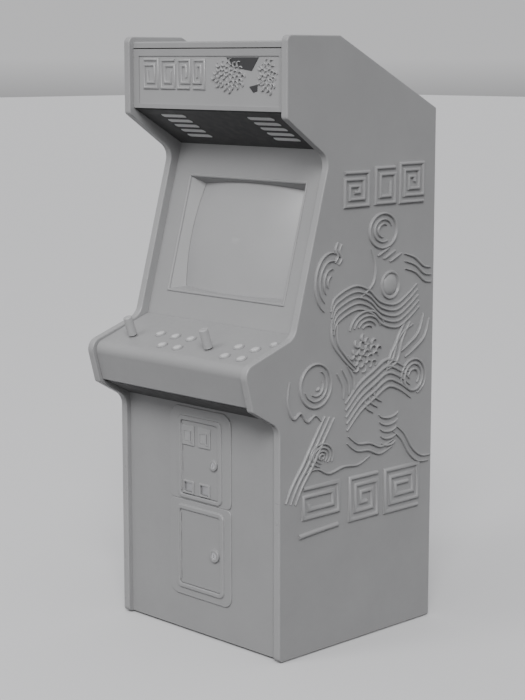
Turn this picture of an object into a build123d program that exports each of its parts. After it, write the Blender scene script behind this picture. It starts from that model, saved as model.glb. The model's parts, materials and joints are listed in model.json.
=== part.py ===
from build123d import *
import math
import os

# Upright two-player arcade cabinet. Millimetres, +Z up, -Y is the front, origin at the middle of the
# footprint on the floor. Sections are drawn in the (y, z) plane and run across the cabinet along X.

# ---- driving dimensions ----
WIDTH = 683.0
HEIGHT = 1750.0
DEPTH = 773.4
ART_T = 1.5            # applied relief on the outer faces of the side panels
SIDE_T = 24.0          # side panels and their edge moulding
MOLDING_T = 4.0        # crown of the edge moulding
FIT = 0.05             # running and edge clearance
BOARD_T = 18.0
LIFT = 3.0             # side panels clear the floor by this much, the feet carry the weight
INNER_X = WIDTH / 2 - ART_T - SIDE_T
OUTER_X = WIDTH / 2 - ART_T

# Outline of a side panel: (y, z, corner radius), up the front, over the top and down the back.
OUTLINE = [
    (-260, LIFT, 15), (-260, 680, 45), (-362, 738, 10), (-394, 859, 35), (-202, 925, 45),
    (-66, 1413, 45), (-233, 1527, 12), (-233, HEIGHT, 18), (-25, HEIGHT, 10),
    (DEPTH / 2, 1545, 6), (DEPTH / 2, LIFT, 6),
]

# Outer faces of the boards between the side panels, as corners of one broken line in (y, z).
KICK_LOW = (-244, 7)
KICK_TOP = (-244, 691)
UNDER_FRONT = (-351, 745)
DECK_FRONT = (-380.3, 854.2)
DECK_REAR = (-171, 928.3)
NECK_TOP = (-30, 1434.4)
HEAD_LOW = (-217, 1543.5)
HEAD_TOP = (-217, 1735)
ROOF_INSET = 15.0
BACK_Y = 376.0

# Screen
SCREEN_HALF = 240.0
SCREEN_LOW, SCREEN_HIGH = 82.5, 424.0
SCREEN_MID = 254.0
GLASS_R = 1000.0
GLASS_APEX = -1.0
WALL_IN, WALL_LOW_IN, WALL_HIGH_IN, WALL_DEPTH = 36.0, 17.0, 12.0, 37.0

# Controls, in the plane of the deck: (x, distance up the slope)
STICKS = {"left": (-224.0, 77.0), "right": (105.0, 77.0)}
ROW_HIGH, ROW_LOW = 112.0, 55.5
COLUMN = 66.3
BUTTONS = {
    "button_1a": (-139, ROW_HIGH), "button_1b": (-139 + COLUMN, ROW_HIGH),
    "button_1c": (-139 + 2 * COLUMN, ROW_HIGH),
    "button_1d": (-71, ROW_LOW), "button_1e": (-71 + COLUMN, ROW_LOW),
    "button_2a": (193, ROW_HIGH), "button_2b": (193 + COLUMN, ROW_HIGH),
    "button_2c": (193, ROW_LOW), "button_2d": (193 + COLUMN, ROW_LOW),
    "start_button": (296, 152),
}
SHEET_T = 2.5
TILT_AXIS = (10.0, 6.0)     # control panel hinge: up the fascia, behind its face

# Coin doors, in the plane of the kick panel: (x0, x1, z0, z1)
COIN_PLATE = (-130, 130, 404.3, 684)
COIN_BEAD = (-94, 94, 409, 658)
COIN_HOLE = (-80, 80, 422, 644)
CASH_PLATE = (-130, 130, 111, 403.7)
CASH_BEAD = (-102, 102, 133, 388)
CASH_HOLE = (-88, 88, 147, 374)
DOOR_FACE = 5.0
DOOR_T = 2.5
PIVOT_IN, PIVOT_OUT, KNUCKLE_R, PIN_R = 3.4, 6.0, 2.8, 1.5
COIN_LOCK = (62, 527, 16, 9)        # x, z, ring radius, plug radius
CASH_LOCK = (64, 258, 20, 11)
COIN_X = (-47.5, 21.5)
ENTRY_Z, ENTRY_W, ENTRY_H = 601.0, 51.0, 60.0
CUP_Z, CUP_W, CUP_H = 445.0, 46.0, 40.0

REAR_HOLE = (-235, 235, 300, 1130)
REAR_LOCK = (205, 700)
INLET = (200, 180)


# ---- helpers ----
def direction(a, b):
    """Unit vector from a to b and the normal on its right, both in (y, z)."""
    dy, dz = b[0] - a[0], b[1] - a[1]
    size = math.hypot(dy, dz)
    return (dy / size, dz / size), (dz / size, -dy / size)


def along(a, b, s, inset=0.0):
    """Point s millimetres from a towards b, moved inwards by inset."""
    d, n = direction(a, b)
    return (a[0] + s * d[0] + inset * n[0], a[1] + s * d[1] + inset * n[1])


def meet(a, b, c, d):
    """Where the line through a and b crosses the line through c and d."""
    r, s = (b[0] - a[0], b[1] - a[1]), (d[0] - c[0], d[1] - c[1])
    t = ((c[0] - a[0]) * s[1] - (c[1] - a[1]) * s[0]) / (r[0] * s[1] - r[1] * s[0])
    return (a[0] + t * r[0], a[1] + t * r[1])


def shifted(a, b, inset):
    """The line a-b moved inwards, as two points."""
    return along(a, b, 0, inset), along(a, b, 10, inset)


def rounded_face(corners):
    """Closed face from (u, v, radius) corners, each rounded by an arc."""
    edges, ends = [], []
    count = len(corners)
    for i, (u, v, radius) in enumerate(corners):
        before, after = corners[i - 1], corners[(i + 1) % count]
        d0, _ = direction(before, (u, v))
        d1, _ = direction((u, v), after)
        turn = math.atan2(d0[0] * d1[1] - d0[1] * d1[0], d0[0] * d1[0] + d0[1] * d1[1])
        if radius <= 0:
            ends.append(((u, v), (u, v), None))
            continue
        reach = radius * math.tan(abs(turn) / 2)
        start = (u - reach * d0[0], v - reach * d0[1])
        end = (u + reach * d1[0], v + reach * d1[1])
        side = 1 if turn > 0 else -1
        centre = (start[0] - side * radius * d0[1], start[1] + side * radius * d0[0])
        away = (u - centre[0], v - centre[1])
        size = math.hypot(*away)
        middle = (centre[0] + away[0] * radius / size, centre[1] + away[1] * radius / size)
        ends.append((start, end, middle))
    for i, (start, end, middle) in enumerate(ends):
        if middle:
            edges.append(ThreePointArc(start, middle, end))
        edges.append(Line(end, ends[(i + 1) % count][0]))
    return make_face(edges)


def inset_outline(inset):
    """The side panel's outline moved inwards, with its corners still concentric."""
    corners = []
    count = len(OUTLINE)
    for i, (y, z, radius) in enumerate(OUTLINE):
        before, after = OUTLINE[i - 1], OUTLINE[(i + 1) % count]
        d0, _ = direction(before, (y, z))
        d1, _ = direction((y, z), after)
        point = meet(*shifted(before, (y, z), inset), *shifted((y, z), after, inset))
        convex = d0[0] * d1[1] - d0[1] * d1[0] < 0
        corners.append((*point, max(radius - inset, 0.6) if convex else radius + inset))
    return rounded_face(corners)


def across(face, x0, x1):
    """A (y, z) section run across the cabinet from x0 to x1."""
    return Pos(x0, 0, 0) * extrude(Plane.YZ * face, x1 - x0)


def section(points, x0=-INNER_X, x1=INNER_X):
    """A straight-sided (y, z) section run across the cabinet."""
    return across(make_face(Polyline(*points, close=True)), x0, x1)


def slope(a, b):
    """Plane of a sloping board: x across, y from a towards b, z outwards."""
    d, n = direction(a, b)
    return Plane(origin=(0, a[0], a[1]), x_dir=(1, 0, 0), z_dir=(0, -n[0], -n[1]))


def block(x0, x1, y0, y1, z0, z1):
    return Pos((x0 + x1) / 2, (y0 + y1) / 2, (z0 + z1) / 2) * Box(x1 - x0, y1 - y0, z1 - z0)


def pad(box, z0, z1, radius):
    """A block with rounded corners in plan, box = (x0, x1, y0, y1)."""
    x0, x1, y0, y1 = box
    shape = RectangleRounded(x1 - x0, y1 - y0, radius)
    return Pos((x0 + x1) / 2, (y0 + y1) / 2, z0) * extrude(shape, z1 - z0)


def rod(x, y, radius, z0, z1):
    return Pos(x, y, z0) * Cylinder(radius, z1 - z0, align=(Align.CENTER, Align.CENTER, Align.MIN))


def ring(x, y, outer, inner, z0, z1):
    return rod(x, y, outer, z0, z1) - rod(x, y, inner, z0 - 1, z1 + 1)


def bar(y, z, radius, x0, x1):
    """A round bar lying along X."""
    return Pos(x0, y, z) * Rot(0, 90, 0) * Cylinder(
        radius, x1 - x0, align=(Align.CENTER, Align.CENTER, Align.MIN))


def top_edges(shape):
    return shape.faces().sort_by(Axis.Z)[-1].edges()


def mirrored(shape):
    return mirror(shape, Plane.YZ)


FRONT = Plane(origin=(0, KICK_LOW[0], 0), x_dir=(1, 0, 0), z_dir=(0, -1, 0))
BACK = Plane(origin=(0, BACK_Y, 0), x_dir=(-1, 0, 0), z_dir=(0, 1, 0))
UNDER = slope(KICK_TOP, UNDER_FRONT)
FASCIA = slope(UNDER_FRONT, DECK_FRONT)
DECK = slope(DECK_FRONT, DECK_REAR)
NECK = slope(DECK_REAR, NECK_TOP)
SPEAKER = slope(NECK_TOP, HEAD_LOW)
HEAD = Plane(origin=(0, HEAD_LOW[0], 0), x_dir=(1, 0, 0), z_dir=(0, -1, 0))
TILT_AT = along(UNDER_FRONT, DECK_FRONT, *TILT_AXIS)


# ---- carcase ----
def side_panel():
    core = across(inset_outline(MOLDING_T + FIT), INNER_X, OUTER_X)
    middle = (INNER_X + OUTER_X) / 2
    slot = across(inset_outline(MOLDING_T - 1), middle - 1.1, middle + 1.1)
    return core - (slot - across(inset_outline(MOLDING_T + 11), middle - 2, middle + 2))


def edge_molding():
    """Crown with rounded edges, and a thin stem that plugs into the panel's edge groove."""
    crown = across(inset_outline(0), INNER_X, OUTER_X)
    faces = crown.faces().sort_by(Axis.X)
    crown = fillet(faces[0].edges() + faces[-1].edges(), MOLDING_T - 0.6)
    crown -= across(inset_outline(MOLDING_T), INNER_X - 1, OUTER_X + 1)
    middle = (INNER_X + OUTER_X) / 2
    stem = across(inset_outline(MOLDING_T - 0.5), middle - 1, middle + 1)
    return crown + (stem - across(inset_outline(MOLDING_T + 10), middle - 2, middle + 2))


def art_panel():
    """Thin applied relief that covers the middle of a side panel's outer face."""
    skin = across(inset_outline(18), OUTER_X, OUTER_X + ART_T)
    return skin & block(OUTER_X, OUTER_X + ART_T, -DEPTH / 2, DEPTH / 2, 250, 1410)


def front_panel():
    board = block(-INNER_X, INNER_X, -BOARD_T, 0, KICK_LOW[1], 706)
    board = Pos(0, KICK_LOW[0] + BOARD_T, 0) * board
    for hole in (COIN_HOLE, CASH_HOLE):
        x0, x1, z0, z1 = hole
        cut = FRONT * pad((x0 - 22, x1 + 22, z0 - 10, z1 + 10), -BOARD_T - 1, 1, 14)
        board -= cut
    return board


def bottom_board():
    board = block(-INNER_X, INNER_X, KICK_LOW[0] + BOARD_T, BACK_Y - BOARD_T, 60, 78)
    for x, y in FEET:
        board -= rod(x, y, 5.5, 50, 90)
    return board


FEET = [(x, y) for x in (-270, 270) for y in (-194, 326)]


def levelling_feet():
    feet = []
    for x, y in FEET:
        base = fillet(rod(x, y, 19, 0, 9).edges().group_by(Axis.Z)[-1], 3)
        stem = rod(x, y, 5, 9, 96)
        nuts = Pos(x, y, 50) * extrude(RegularPolygon(10, 6), 10) + Pos(x, y, 78) * extrude(
            RegularPolygon(10, 6), 8)
        feet.append(base + stem + nuts)
    return feet


def top_and_roof():
    """Level top board and sloping roof board, mitred where they meet."""
    top_line = ((-200, HEIGHT - ROOF_INSET), (0, HEIGHT - ROOF_INSET))
    top_under = ((-200, HEIGHT - ROOF_INSET - BOARD_T), (0, HEIGHT - ROOF_INSET - BOARD_T))
    p8, p9 = OUTLINE[8][:2], OUTLINE[9][:2]
    roof_line, roof_under = shifted(p8, p9, ROOF_INSET), shifted(p8, p9, ROOF_INSET + BOARD_T)
    rear = ((BACK_Y, 0), (BACK_Y, 10))
    ridge, ridge_under = meet(*top_line, *roof_line), meet(*top_under, *roof_under)
    top = section([(HEAD_LOW[0], top_under[0][1]), (HEAD_LOW[0], top_line[0][1]), ridge, ridge_under])
    nose = top.edges().filter_by(Axis.X).sort_by(Axis.Y)[:2].sort_by(Axis.Z)[-1]
    roof = section([ridge, meet(*roof_line, *rear), meet(*roof_under, *rear), ridge_under])
    return fillet(nose, 5), roof


def back_panel():
    p8, p9 = OUTLINE[8][:2], OUTLINE[9][:2]
    roof_under = shifted(p8, p9, ROOF_INSET + BOARD_T)
    inner = BACK_Y - BOARD_T
    high_in = meet(*roof_under, (inner, 0), (inner, 10))
    high_out = meet(*roof_under, (BACK_Y, 0), (BACK_Y, 10))
    board = section([(inner, 30), (BACK_Y, 30), high_out, high_in])
    x0, x1, z0, z1 = REAR_HOLE
    board -= block(x0, x1, inner - 1, BACK_Y + 1, z0, z1)
    board -= block(INLET[0] - 22, INLET[0] + 22, inner - 1, BACK_Y + 1, INLET[1] - 34, INLET[1] + 34)
    for row in range(6):
        board -= block(-120, 120, inner - 1, BACK_Y + 1, 1240 + 32 * row, 1250 + 32 * row)
    for x, z in SCREWS:
        board -= BACK * rod(-x, z, 2 + FIT, -BOARD_T - 1, 1)
    return board


SCREWS = [(x, z) for x in (-296, 296) for z in (70, 340, 620, 900, 1180, 1440)] + [
    (x, z) for x in (-180, 0) for z in (70, 1480)] + [(180, 1480)]


def screws():
    """Domed wood screws round the back panel."""
    heads = []
    for x, z in SCREWS:
        head = fillet(rod(-x, z, 6, 0, 3.2).edges().group_by(Axis.Z)[-1], 2.6)
        recess = Pos(-x, z, 2.4) * (Box(6, 1.4, 2) + Box(1.4, 6, 2))
        heads.append(BACK * (head - recess + rod(-x, z, 2, -14, 0)))
    return heads


# ---- head: marquee, lamp, speakers ----
def marquee_panel():
    return HEAD * block(-INNER_X + 1, INNER_X - 1, 1546, 1712, -7, -3)


def marquee_retainers():
    """Four thin strips that frame the lit panel, the top one an angle screwed under the top board."""
    low, high, side = 1556, 1694, 292
    top = HEAD * (block(-INNER_X, INNER_X, high, 1714, -3, 0) + block(-INNER_X, INNER_X, 1712.2, 1714, -24, -3))
    foot = HEAD * block(-INNER_X, INNER_X, HEAD_LOW[1], low, -3, 0)
    left = HEAD * block(-INNER_X, -side, low, high, -3, 0)
    right = HEAD * block(side, INNER_X, low, high, -3, 0)
    return [top, foot, left, right]


def marquee_light():
    base = block(-262, 262, -149, -109, 1692, 1717)
    for x0 in (-262, 250):
        base += block(x0, x0 + 12, -142, -116, 1654, 1692)
    lamp = bar(-129, 1670, 13, -249.5, 249.5)
    return [base, lamp]


def slot_shape(x, s, h0=-20, h1=10, gap=0.0):
    return Pos(x, s, h0) * extrude(SlotOverall(104 - 2 * gap, 19 - 2 * gap), h1 - h0)


SLOT_X, SLOT_PITCH, SLOT_LOW = 182.5, 29.7, 53.0


def speaker_panel():
    skin_line, back_line = shifted(NECK_TOP, HEAD_LOW, 0), shifted(NECK_TOP, HEAD_LOW, 12)
    front = ((HEAD_LOW[0] + 7.5, 0), (HEAD_LOW[0] + 7.5, 10))
    rear = ((NECK_TOP[0] + 12, 0), (NECK_TOP[0] + 12, 10))
    board = section([meet(*skin_line, *rear), meet(*skin_line, *front), meet(*back_line, *front),
                     meet(*back_line, *rear)])
    for x in (-SLOT_X, SLOT_X):
        for row in range(5):
            board -= SPEAKER * slot_shape(x, SLOT_LOW + SLOT_PITCH * row)
    return board


SPEAKER_S = SLOT_LOW + 2 * SLOT_PITCH


def speaker_grilles():
    """Pressed mesh behind each row of slots, raised into the slots almost to the face."""
    grilles = []
    for x in (-SLOT_X, SLOT_X):
        mesh = pad((x - 60, x + 60, SPEAKER_S - 76, SPEAKER_S + 76), -13.2, -12, 6)
        for row in range(5):
            s = SLOT_LOW + SLOT_PITCH * row
            mesh += slot_shape(x, s, -12.5, -0.6, 0.4)
            mesh -= slot_shape(x, s, -14, -2.0, 1.8)
        grilles.append(SPEAKER * mesh)
    return grilles


def speakers():
    units = []
    for x in (-SLOT_X, SLOT_X):
        frame = pad((x - 52, x + 52, SPEAKER_S - 52, SPEAKER_S + 52), -17, -13.2, 14)
        basket = Pos(x, SPEAKER_S, -30) * Cone(30, 48, 26)
        magnet = rod(x, SPEAKER_S, 32, -58, -43)
        units.append(SPEAKER * (frame + basket + magnet))
    return units


# ---- screen ----
def glass_ball(extra):
    return Pos(0, SCREEN_MID, GLASS_APEX - GLASS_R) * Sphere(GLASS_R + extra)


def tapered_well(grow):
    """The opening, narrowing towards the glass: wide at the face and smaller at the bottom."""
    front = Pos(0, (SCREEN_LOW + SCREEN_HIGH) / 2, 0) * Rectangle(
        2 * (SCREEN_HALF + grow), SCREEN_HIGH - SCREEN_LOW + 2 * grow)
    low, high = SCREEN_LOW + WALL_LOW_IN, SCREEN_HIGH - WALL_HIGH_IN
    rear = Pos(0, (low + high) / 2, -WALL_DEPTH) * Rectangle(
        2 * (SCREEN_HALF - WALL_IN + grow), high - low + 2 * grow)
    return loft([front, rear])


def mouth(h0, h1, grow0, grow1):
    """Cutter over the opening that changes its margin from one height to the other."""
    return loft([Pos(0, (SCREEN_LOW + SCREEN_HIGH) / 2, h) * Rectangle(
        2 * (SCREEN_HALF + grow), SCREEN_HIGH - SCREEN_LOW + 2 * grow)
        for h, grow in ((h0, grow0), (h1, grow1))])


def monitor_bezel():
    """Moulded surround with a bevelled bead, a groove inside it and a well down to the tube."""
    face, back = shifted(DECK_REAR, NECK_TOP, 0), shifted(DECK_REAR, NECK_TOP, 4)
    under = shifted(NECK_TOP, HEAD_LOW, 0)
    foot = ((0, 906), (10, 906))
    plate = section([meet(*face, *foot), meet(*face, *under), meet(*back, *under), meet(*back, *foot)])
    opening = (-SCREEN_HALF, SCREEN_HALF, SCREEN_LOW, SCREEN_HIGH)
    bead = pad((opening[0] - 9, opening[1] + 9, opening[2] - 9, opening[3] + 9), -2, 4, 4)
    bead = fillet(top_edges(bead), 3.2)
    well, hole = tapered_well(3), tapered_well(0)
    hole += mouth(-1.6, 0.6, 1.2, 1.2) + mouth(0.55, 4.6, 0, 4.2)
    shell = plate + NECK * (bead + well)
    return shell - NECK * hole - NECK * glass_ball(0.8)


def crt_tube():
    """Curved faceplate, funnel and neck in one piece of glass, and the yoke round its neck."""
    rim = pad((-250, 250, SCREEN_MID - 188, SCREEN_MID + 188), -62, 5, 30)
    face = rim & glass_ball(0)
    wide = Pos(0, SCREEN_MID, -62) * RectangleRounded(496, 372, 28)
    middle = Pos(0, SCREEN_MID, -170) * RectangleRounded(300, 240, 60)
    narrow = Pos(0, SCREEN_MID, -300) * RectangleRounded(44, 44, 21)
    funnel = loft([wide, middle, narrow])
    neck = rod(0, SCREEN_MID, 14.5, -395, -299)
    yoke = ring(0, SCREEN_MID, 50, 15, -350, -322) + ring(0, SCREEN_MID, 34, 15, -322, -302)
    return [NECK * (face + funnel + neck), NECK * yoke]


def monitor_chassis():
    """Steel frame round the tube, with a wing to each side panel and a shelf for its board."""
    mid = SCREEN_MID
    plate = block(-INNER_X, INNER_X, mid - 215, mid + 215, -70, -66)
    plate -= pad((-252, 252, mid - 190, mid + 190), -80, -60, 31)
    wings = block(-INNER_X, -INNER_X + 3, mid - 200, mid + 200, -150, -66)
    wings += block(INNER_X - 3, INNER_X, mid - 200, mid + 200, -150, -66)
    tray = block(-220, 220, mid - 215, mid - 212, -330, -66)
    return NECK * (plate + wings + tray)


def monitor_board():
    """Deflection board on the chassis tray, with its transformer, heat sinks and capacitors."""
    base = SCREEN_MID - 212
    board = block(-200, 200, base + 6, base + 8, -322, -170)
    for x in (-190, 0, 190):
        for h in (-312, -180):
            board += Pos(x, base + 3.5, h) * Rot(90, 0, 0) * Cylinder(4, 7)
    board += block(110, 160, base + 8, base + 62, -300, -250)
    board += block(-180, -90, base + 8, base + 48, -240, -236)
    for x in (-60, -30, 0, 60):
        board += Pos(x, base + 22, -290) * Rot(90, 0, 0) * Cylinder(11, 30)
    return NECK * board


# ---- controls ----
def deck_section(outer, inner, rear, foot):
    """Bent strip that follows the deck and the fascia between two depths."""
    corner_out = meet(*shifted(DECK_FRONT, DECK_REAR, outer), *shifted(UNDER_FRONT, DECK_FRONT, outer))
    corner_in = meet(*shifted(DECK_FRONT, DECK_REAR, inner), *shifted(UNDER_FRONT, DECK_FRONT, inner))
    bend = 30
    return rounded_face([
        (*along(DECK_FRONT, DECK_REAR, rear, outer), 0), (*along(DECK_FRONT, DECK_REAR, rear, inner), 0),
        (*corner_in, max(bend - inner, 2)), (*along(UNDER_FRONT, DECK_FRONT, foot, inner), 0),
        (*along(UNDER_FRONT, DECK_FRONT, foot, outer), 0), (*corner_out, bend - outer)])


KNUCKLES = [(-300 + 60 * i, -240 + 60 * i) for i in range(10)]


def control_panel():
    """Folded steel deck and fascia with end flanges and the moving half of its hinge."""
    half = INNER_X - 1.5
    panel = across(deck_section(0, SHEET_T, 219, 1), -half, half)
    for x0 in (-half, half - 2):
        panel += across(deck_section(SHEET_T, 26, 200, 22), x0, x0 + 2)
    for name, (x, s) in BUTTONS.items():
        panel -= DECK * rod(x, s, barrel_radius(name) + 0.1, -10, 5)
    for x, s in STICKS.values():
        panel -= DECK * rod(x, s, 12, -10, 5)
    up, deep = TILT_AXIS
    for x0, x1 in KNUCKLES[1::2]:
        knuckle = bar(*TILT_AT, 3.2, x0 + 0.5, x1 - 0.5)
        web = FASCIA * block(x0 + 0.5, x1 - 0.5, up - 2, up + 2, -deep, -SHEET_T + 0.5)
        panel += knuckle + web
        panel -= bar(*TILT_AT, PIN_R + FIT, x0, x1)
    return panel


def control_shelf():
    """Board that closes the underside, and the rail behind the deck's rear edge."""
    under, upper = shifted(KICK_TOP, UNDER_FRONT, 0), shifted(KICK_TOP, UNDER_FRONT, 15)
    kick = (KICK_TOP, KICK_LOW)
    end = 108.5
    shelf = section([meet(*under, *kick), along(KICK_TOP, UNDER_FRONT, end),
                     along(KICK_TOP, UNDER_FRONT, end, 15), meet(*upper, *kick)])
    rail = section([(-167, 850), (-149, 850), (-149, 922), (-167, 922)])
    return [shelf, rail]


def hinge_leaves():
    """Fixed halves of the control panel's hinge and of the rear door's two hinges."""
    d, n = direction(KICK_TOP, UNDER_FRONT)
    rel = (TILT_AT[0] - KICK_TOP[0], TILT_AT[1] - KICK_TOP[1])
    s_axis, in_axis = rel[0] * d[0] + rel[1] * d[1], rel[0] * n[0] + rel[1] * n[1]
    leaf = UNDER * block(-300, 300, 108.5, 110, -14, -1)
    for x0, x1 in KNUCKLES[0::2]:
        leaf += bar(*TILT_AT, 3.2, x0 + 0.5, x1 - 0.5)
        leaf += UNDER * block(x0 + 0.5, x1 - 0.5, 109, s_axis - 1, -in_axis - 1, -in_axis + 1)
        leaf -= bar(*TILT_AT, PIN_R + FIT / 2, x0, x1)
    parts = [leaf]
    for z in REAR_HINGE_Z:
        knuckles = ring(REAR_AXIS[0], REAR_AXIS[1], 3.2, PIN_R + FIT / 2, z, z + 24.5)
        knuckles += ring(REAR_AXIS[0], REAR_AXIS[1], 3.2, PIN_R + FIT / 2, z + 50, z + 74.5)
        plate = block(REAR_AXIS[0] - 30, REAR_AXIS[0] - 1, BACK_Y, BACK_Y + 1.6, z, z + 74.5)
        for z0 in (z, z + 50):
            plate += block(REAR_AXIS[0] - 3.2, REAR_AXIS[0] - 1.8, BACK_Y, REAR_AXIS[1], z0, z0 + 24.5)
        plate -= block(REAR_AXIS[0] - 4.4, REAR_AXIS[0] + 1, BACK_Y - 1, BACK_Y + 5, z + 24.5, z + 50)
        parts.append(knuckles + plate)
    return parts


REAR_AXIS = (-234.0, BACK_Y + 4.2)
REAR_HINGE_Z = (380, 960)


def hinge_pins():
    pins = [bar(*TILT_AT, PIN_R, -300, 300)]
    for hole in (COIN_HOLE, CASH_HOLE):
        x, z0, z1 = hole[0] + PIVOT_IN, hole[2] + 12, hole[3] - 12
        pins.append(rod(x, KICK_LOW[0] - PIVOT_OUT, PIN_R, z0, z1))
    for z in REAR_HINGE_Z:
        pins.append(rod(*REAR_AXIS, PIN_R, z - 1, z + 75.5))
    return pins


def barrel_radius(name):
    return 11.0 if name == "start_button" else 13.9


def button_housings():
    """Threaded barrel with a rim above the deck, and its nut below."""
    parts = []
    for name, (x, s) in BUTTONS.items():
        barrel = barrel_radius(name)
        rim = fillet(rod(x, s, barrel + 2.6, 0, 4).edges().group_by(Axis.Z)[-1], 1.6)
        shell = rim + rod(x, s, barrel, -26, 0)
        shell -= rod(x, s, barrel - 1.7, -16, 5) + rod(x, s, 4.2, -30, 0)
        nut = Pos(x, s, -8) * extrude(RegularPolygon(barrel + 4, 12), 8 - SHEET_T)
        nut -= rod(x, s, barrel + FIT, -10, 0)
        parts += [DECK * shell, DECK * nut]
    return parts


def button(name):
    """Plunger with a gently domed cap and a stem down to its switch."""
    x, s = BUTTONS[name]
    cap = rod(x, s, barrel_radius(name) - 1.9, -5, 8) & Pos(x, s, 7.2 - 32) * Sphere(32)
    return DECK * (cap + rod(x, s, 3.6, -29, -5))


def microswitches():
    parts = []
    for x, s in BUTTONS.values():
        body = block(x - 14, x + 14, s - 5, s + 5, -50, -34)
        body += block(x - 3, x + 3, s - 2.5, s + 2.5, -34, -32.6)
        arms = block(x - 16, x - 14, s - 5, s + 5, -50, -26) + block(x + 14, x + 16, s - 5, s + 5, -50, -26)
        parts.append(DECK * (body + arms))
    for x, s in STICKS.values():
        for turn in range(4):
            body = block(15.5, 22, -10, 10, -50, -37)
            parts.append(DECK * (Pos(x, s, 0) * Rot(0, 0, 90 * turn) * body))
    return parts


STICK_PIVOT = -22.0


def joystick_housings():
    """Mounting plate and square body that carries the gimbal, open for the shaft."""
    parts = []
    for x, s in STICKS.values():
        plate = pad((x - 32, x + 32, s - 46, s + 46), -4.5, -SHEET_T, 6) - rod(x, s, 12, -10, 0)
        body = block(x - 26, x + 26, s - 26, s + 26, -37, -4.5)
        body -= block(x - 21, x + 21, s - 21, s + 21, -34.5, -4)
        body -= rod(x, s, 14, -40, -30)
        bore = Pos(0, s, STICK_PIVOT) * Rot(0, 90, 0) * Cylinder(2 + FIT, 800)
        parts.append(DECK * (plate + (body - (bore & block(x - 30, x + 30, s - 5, s + 5, -30, -15)))))
    return parts


def gimbal(side):
    x, s = STICKS[side]
    frame = ring(x, s, 18, 13, STICK_PIVOT - 4, STICK_PIVOT + 4)
    pivot = Pos(x, s, STICK_PIVOT)
    for way in (-1, 1):
        frame += pivot * Pos(way * 20.5, 0, 0) * Rot(0, 90, 0) * Cylinder(2, 8)
    frame -= pivot * Rot(90, 0, 0) * Cylinder(2 + FIT, 60)
    return DECK * frame


def joystick(side):
    """Steel shaft with cross pin and actuator, and the round grip."""
    x, s = STICKS[side]
    shaft = rod(x, s, 4.75, -53, 10) + rod(x, s, 9, -53, -41)
    shaft += Pos(x, s, STICK_PIVOT) * Rot(90, 0, 0) * Cylinder(2, 35)
    grip = rod(x, s, 13.5, 5, 63)
    grip = fillet(grip.edges().group_by(Axis.Z)[-1], 3.5)
    return DECK * (shaft + chamfer(grip.edges().group_by(Axis.Z)[0], 1))


def dust_washers():
    return [DECK * ring(x, s, 14.5, 9.7, 0, 1.4) for x, s in STICKS.values()]


# ---- coin doors ----
def door_frame(plate, radii, bead, hole):
    """Pressed plate with a rounded bead round the doorway and a short sleeve behind it."""
    x0, x1, z0, z1 = plate
    low, high = radii
    outline = rounded_face([(x0, z0, low), (x0, z1, high), (x1, z1, high), (x1, z0, low)])
    shape = chamfer(top_edges(extrude(outline, 4)), 1.2)
    shape += fillet(top_edges(pad(bead, 2, 9, 20)), 4)
    shape += pad((hole[0] - 2.5, hole[1] + 2.5, hole[2] - 2.5, hole[3] + 2.5), -16, 1, 10)
    shape -= pad(hole, -20, 12, 8)
    mouth = pad((hole[0] - 2, hole[1] + 2, hole[2] - 2, hole[3] + 2), 8, 12, 9)
    return shape - mouth


def knuckle_spans(hole):
    """Fixed and moving lengths of a coin door's hinge, along z."""
    z0, z1 = hole[2] + 12, hole[3] - 12
    step = (z1 - z0) / 7
    spans = [(z0 + i * step + 0.3, z0 + (i + 1) * step - 0.3) for i in range(7)]
    return spans[0::2], spans[1::2]


def across_z(x, out, radius, z0, z1):
    """A round bar standing along Z, placed by its distance out from the kick panel."""
    return rod(x, KICK_LOW[0] - out, radius, z0, z1)


def coin_frames():
    frames = []
    for plate, radii, bead, hole in (
            (COIN_PLATE, (18, 38), COIN_BEAD, COIN_HOLE), (CASH_PLATE, (30, 18), CASH_BEAD, CASH_HOLE)):
        frame = FRONT * door_frame(plate, radii, bead, hole)
        x = hole[0] + PIVOT_IN
        for z0, z1 in knuckle_spans(hole)[0]:
            frame += across_z(x, PIVOT_OUT, KNUCKLE_R, z0, z1)
            frame += FRONT * block(hole[0] - 1, x, z0, z1, PIVOT_OUT - KNUCKLE_R, PIVOT_OUT - 0.5)
            frame -= across_z(x, PIVOT_OUT, PIN_R + FIT / 2, z0 - 1, z1 + 1)
        frames.append(frame)
    return frames


def door_pan(hole, lock):
    """Steel door with folded returns, lock ring and housing, and the moving hinge knuckles."""
    x_axis = hole[0] + PIVOT_IN
    box = (hole[0] + 1, hole[1] - 1.5, hole[2] + 1.5, hole[3] - 1.5)
    pan = pad(box, -8, DOOR_FACE, 8)
    pan = fillet(top_edges(pan), 1.0)
    inner = (box[0] + 2, box[1] - 2, box[2] + 2, box[3] - 2)
    pan -= pad(inner, -9, DOOR_FACE - DOOR_T, 6)
    x, z, ring_r, plug_r = lock
    collar = fillet(rod(x, z, ring_r, DOOR_FACE - 1, 12).edges().group_by(Axis.Z)[-1], 3)
    pan += collar + rod(x, z, plug_r + 3, -16, DOOR_FACE)
    pan -= rod(x, z, plug_r + FIT, -20, 20)
    for z0, z1 in knuckle_spans(hole)[0]:
        pan -= block(hole[0] - 1, x_axis + 3.3, z0 - 0.3, z1 + 0.3, -20, 20)
    door = FRONT * pan
    for z0, z1 in knuckle_spans(hole)[1]:
        door += across_z(x_axis, PIVOT_OUT, KNUCKLE_R, z0, z1)
        door += FRONT * block(x_axis, x_axis + 5, z0, z1, DOOR_FACE - DOOR_T, DOOR_FACE)
        door -= across_z(x_axis, PIVOT_OUT, PIN_R + FIT, z0 - 1, z1 + 1)
    return door


def reject_window(x, grow=0.0):
    return (x - 17 - grow, x + 6 + grow, ENTRY_Z - 17 - grow, ENTRY_Z + 12 + grow)


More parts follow.
